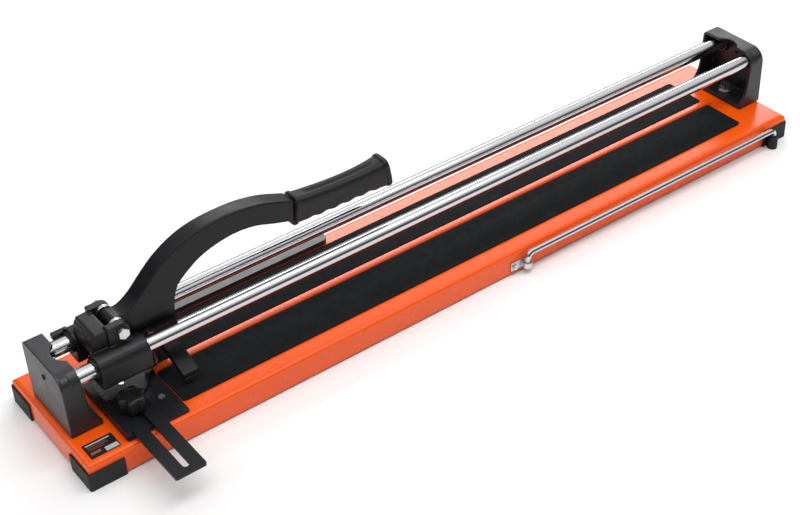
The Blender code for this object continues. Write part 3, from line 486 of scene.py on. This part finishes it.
def grip():
    """Rubber grip: flared rims, finger waves below and a shallow groove along the top."""
    stations = smooth([(380.5, 194.5, 20.4, 16.2), (381.6, 194.4, 21.3, 17), (385, 194, 21.3, 17),
                       (386.6, 194, 19.8, 15.8),
                       (392, 193.6, 19.5, 15.6), (420, 191.4, 18.8, 15), (455, 189.7, 18.2, 14.4),
                       (490, 189.5, 18.2, 14.6),
                       (512, 189.8, 19.4, 15.4), (522, 190.0, 20.4, 16), (527, 190.2, 21.2, 16.2),
                       (528.4, 190.3, 22.8, 17),
                       (533, 190.5, 23, 17), (535, 190.5, 21.8, 15.8)], 7)
    bm = bmesh.new()
    loops = []
    count = 120
    squareness = 3.8
    for x, z, tall, wide in stations:
        lean = math.radians(-9 + 17 * min(1, max(0, (x - 400) / 110)))
        fade = max(0.0, min(1.0, (x - 398) / 10, (518 - x) / 8))
        wave = 1.2 * math.cos((x - 400) * 2 * math.pi / 22) * fade
        loop = []
        for i in range(count):
            c, v = math.cos(2 * math.pi * i / count), math.sin(2 * math.pi * i / count)
            reach = (abs(c / wide) ** squareness + abs(v / tall) ** squareness) ** (-1 / squareness)
            y, up = reach * c, reach * v
            if v < 0:
                up -= wave * min(1, -v * 1.4)
            else:
                up -= fade * 2.6 * max(0.0, 1 - (y / 3.2) ** 2)
            loop.append(bm.verts.new(row(x - up * math.sin(lean), y, z + up * math.cos(lean))))
        loops.append(loop)
    for one, two in zip(loops, loops[1:]):
        for i in range(count):
            bm.faces.new((one[i], one[(i + 1) % count], two[(i + 1) % count], two[i]))
    bm.faces.new(loops[0])
    bm.faces.new(loops[-1])
    obj = make("rubber_grip", bm)
    fit(obj, GRIP, "handle", "grip_rubber", "handle_grip", angle=50)


grip()


# Knob
def knob():
    low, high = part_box("fence_knob")
    centre = ((low[0] + high[0]) / 2, (low[1] + high[1]) / 2)
    z0, z1 = low[2] * 1000, high[2] * 1000
    radius = (high[0] - low[0]) / 2 * 1000
    bm = bmesh.new()
    count = 144
    rings = []
    stack = [(0.62, 0.0), (0.92, 0.0), (0.99, 0.5), (1.0, 1.6), (1.0, 8), (1.0, z1 - z0 - 3.2),
             (0.985, z1 - z0 - 1.6),
             (0.94, z1 - z0 - 0.5), (0.86, z1 - z0), (0.60, z1 - z0), (0.56, z1 - z0 - 0.8),
             (0.30, z1 - z0 - 0.9)]
    for scale, h in stack:
        loop = []
        for i in range(count):
            a = 2 * math.pi * i / count
            lobe = 0.895 + 0.10 * math.cos(6 * a)
            reach = radius * scale * (lobe if scale > 0.8 else 0.95)
            loop.append(bm.verts.new(Vector((centre[0] + reach / 1000 * math.cos(a),
                                             centre[1] + reach / 1000 * math.sin(a),
                                             (z0 + h) / 1000))))
        rings.append(loop)
    for one, two in zip(rings, rings[1:]):
        for i in range(count):
            bm.faces.new((one[i], one[(i + 1) % count], two[(i + 1) % count], two[i]))
    bm.faces.new(rings[0])
    bm.faces.new(rings[-1])
    fit(make("clamp_knob", bm), PLASTIC, "knob", "black_plastic", "fence_knob", angle=40)


knob()

# What the frame already has right keeps its shape, with rounded edges
for node in ("near_front_foot", "near_rear_foot", "far_front_foot", "far_rear_foot"):
    obj = lift(node, node + "_boot")
    soften(obj, 0.7, 4)
    fit(obj, BOOT, "base", "foot_rubber", node, angle=60)
for node, material, edge in (
        ("fence_plate", PRESSED, 0.4), ("fence_guide", PRESSED, 0.35), ("fence_arm", PRESSED, 0.0),
        ("rear_side_rule", RULE_WITH_PAINTED_SHEEN, 0.6), ("bracket_screw", ZINC, 0.5), ("support_bracket", ZINC, 0.4),
        ("front_breaker_pad", RUBBER, 0.5), ("rear_breaker_pad", RUBBER, 0.5),
        ("breaker_pin", ZINC, 0.3), ("wheel_holder", ZINC, 0.0), ("wheel_axle", ZINC, 0.2),
        ("cutting_wheel", STEEL, 0.0),
        ("holder_clamp_screw", ZINC, 0.3), ("support_foot", RUBBER, 0.8), ("support_wire", CHROME, 0.0),
        ("label_plate", LABEL, 0.0), ("fence_stud", ZINC, 0.3), ("fence_washer", ZINC, 0.2),
        ("fence_pivot_pin", ZINC, 0.4),
        ("front_plate_screw", ZINC, 0.3), ("rear_plate_screw", ZINC, 0.3), ("rule_pivot_screw", ZINC, 0.5),
        ("front_rail_wiper", RUBBER, 0.3), ("rear_rail_wiper", RUBBER, 0.3),
        ("front_near_bush", BRONZE, 0.3),
        ("front_far_bush", BRONZE, 0.3), ("rear_near_bush", BRONZE, 0.3), ("rear_far_bush", BRONZE, 0.3),
        ("pivot_bolt", ZINC, 0.5), ("pivot_nut", ZINC, 0.5), ("front_pivot_washer", ZINC, 0.2),
        ("rear_pivot_washer", ZINC, 0.2), ("near_stand_bolt", ZINC, 0.5), ("far_stand_bolt", ZINC, 0.5),
        ("near_stand_washer", ZINC, 0.2), ("far_stand_washer", ZINC, 0.2),
        ("near_stand_cap_screw", BLACKENED, 0.2),
        ("far_stand_cap_screw", BLACKENED, 0.2), ("near_stand_front_set_screw", BLACKENED, 0.2),
        ("near_stand_rear_set_screw", BLACKENED, 0.2), ("far_stand_front_set_screw", BLACKENED, 0.2),
        ("far_stand_rear_set_screw", BLACKENED, 0.2)):
    keep(node, material, edge)

foot = lift("breaker_foot", "breaker_foot_casting")
soften(foot, 0.8, 4)
fit(foot, CASTING, "breaker", "black_casting", "breaker_foot", angle=60)

# Camera at the picture's viewpoint
camera = bpy.data.objects.new("camera", bpy.data.cameras.new("camera"))
bpy.context.scene.collection.objects.link(camera)
azimuth, elevation, roll = math.radians(-35.743), math.radians(37.284), math.radians(-2.362)
back = Vector((math.sin(azimuth) * math.cos(elevation), -math.cos(azimuth) * math.cos(elevation),
               math.sin(elevation)))
side = Vector((math.cos(azimuth), math.sin(azimuth), 0))
up = back.cross(side)
right = side * math.cos(roll) + up * math.sin(roll)
up = up * math.cos(roll) - side * math.sin(roll)
spin = Matrix((right, up, back)).transposed().to_4x4()
camera.matrix_world = Matrix.Translation(row(-472.75, -1445.02, 1386.6)) @ spin
camera.data.sensor_width = 36
camera.data.lens = 70.4
camera.data.shift_x, camera.data.shift_y = -0.0090, -0.0062
camera.data.clip_end = 50
bpy.context.scene.camera = camera

# Floor, lights and a soft white surround with a darker band for the metal to show
bm = bmesh.new()
bmesh.ops.create_grid(bm, x_segments=1, y_segments=1, size=12)
floor = make("floor", bm)
floor.data.materials.append(surface("white_floor", (0.94, 0.935, 0.93), 0.6, tint=0.004, tint_scale=3,
                                    grain=0.0,
                                    grain_scale=400, spread=0.02, specular=0.1))


def panel(name, corner, along, across, radiance):
    """A flat soft box given by a corner and two sides, facing down, with a set brightness."""
    along, across, corner = Vector(along), Vector(across), Vector(corner)
    facing = along.cross(across).normalized()
    if facing.z > 0:
        facing = -facing
    light = bpy.data.lights.new(name, "AREA")
    light.shape = "RECTANGLE"
    light.size, light.size_y = along.length, across.length
    light.energy = radiance * math.pi * along.length * across.length
    obj = bpy.data.objects.new(name, light)
    bpy.context.scene.collection.objects.link(obj)
    x = along.normalized()
    z = -facing
    y = z.cross(x)
    obj.matrix_world = Matrix.Translation(corner + (along + across) / 2) @ Matrix((x, y,
                                                                                   z)).transposed().to_4x4()
    return obj


panel("back_panel", (0.35, 2.36, 2.06), (4.0, -0.52, 0), (0.16, 1.25, 0), 6.0)
panel("overhead", (-1.4, -1.05, 2.4), (2.9, 0, 0), (0, 0.85, 0), 3.8)
panel("left_panel", (-2.6, -1.2, 0.7), (0, 2.4, 0), (-0.5, 0, 1.4), 2.4)

world = bpy.data.worlds.new("surround")
bpy.context.scene.world = world
world.use_nodes = True
nodes, links = world.node_tree.nodes, world.node_tree.links
backdrop = nodes["Background"]
place = nodes.new("ShaderNodeTexCoord")
split = nodes.new("ShaderNodeSeparateXYZ")
links.new(place.outputs["Generated"], split.inputs[0])
bands = nodes.new("ShaderNodeValToRGB")
links.new(split.outputs["Z"], bands.inputs["Fac"])
stops = bands.color_ramp.elements
stops[0].position, stops[0].color = 0.0, (0.09, 0.09, 0.09, 1)
stops[1].position, stops[1].color = 1.0, (0.8, 0.8, 0.8, 1)
for position, level in ((0.46, 0.09), (0.53, 0.55), (0.72, 0.68), (0.80, 0.85)):
    stop = stops.new(position)
    stop.color = (level, level, level * 1.01, 1)
links.new(bands.outputs["Color"], backdrop.inputs["Color"])
backdrop.inputs["Strength"].default_value = 1.25
bpy.context.scene.view_settings.view_transform = "Standard"
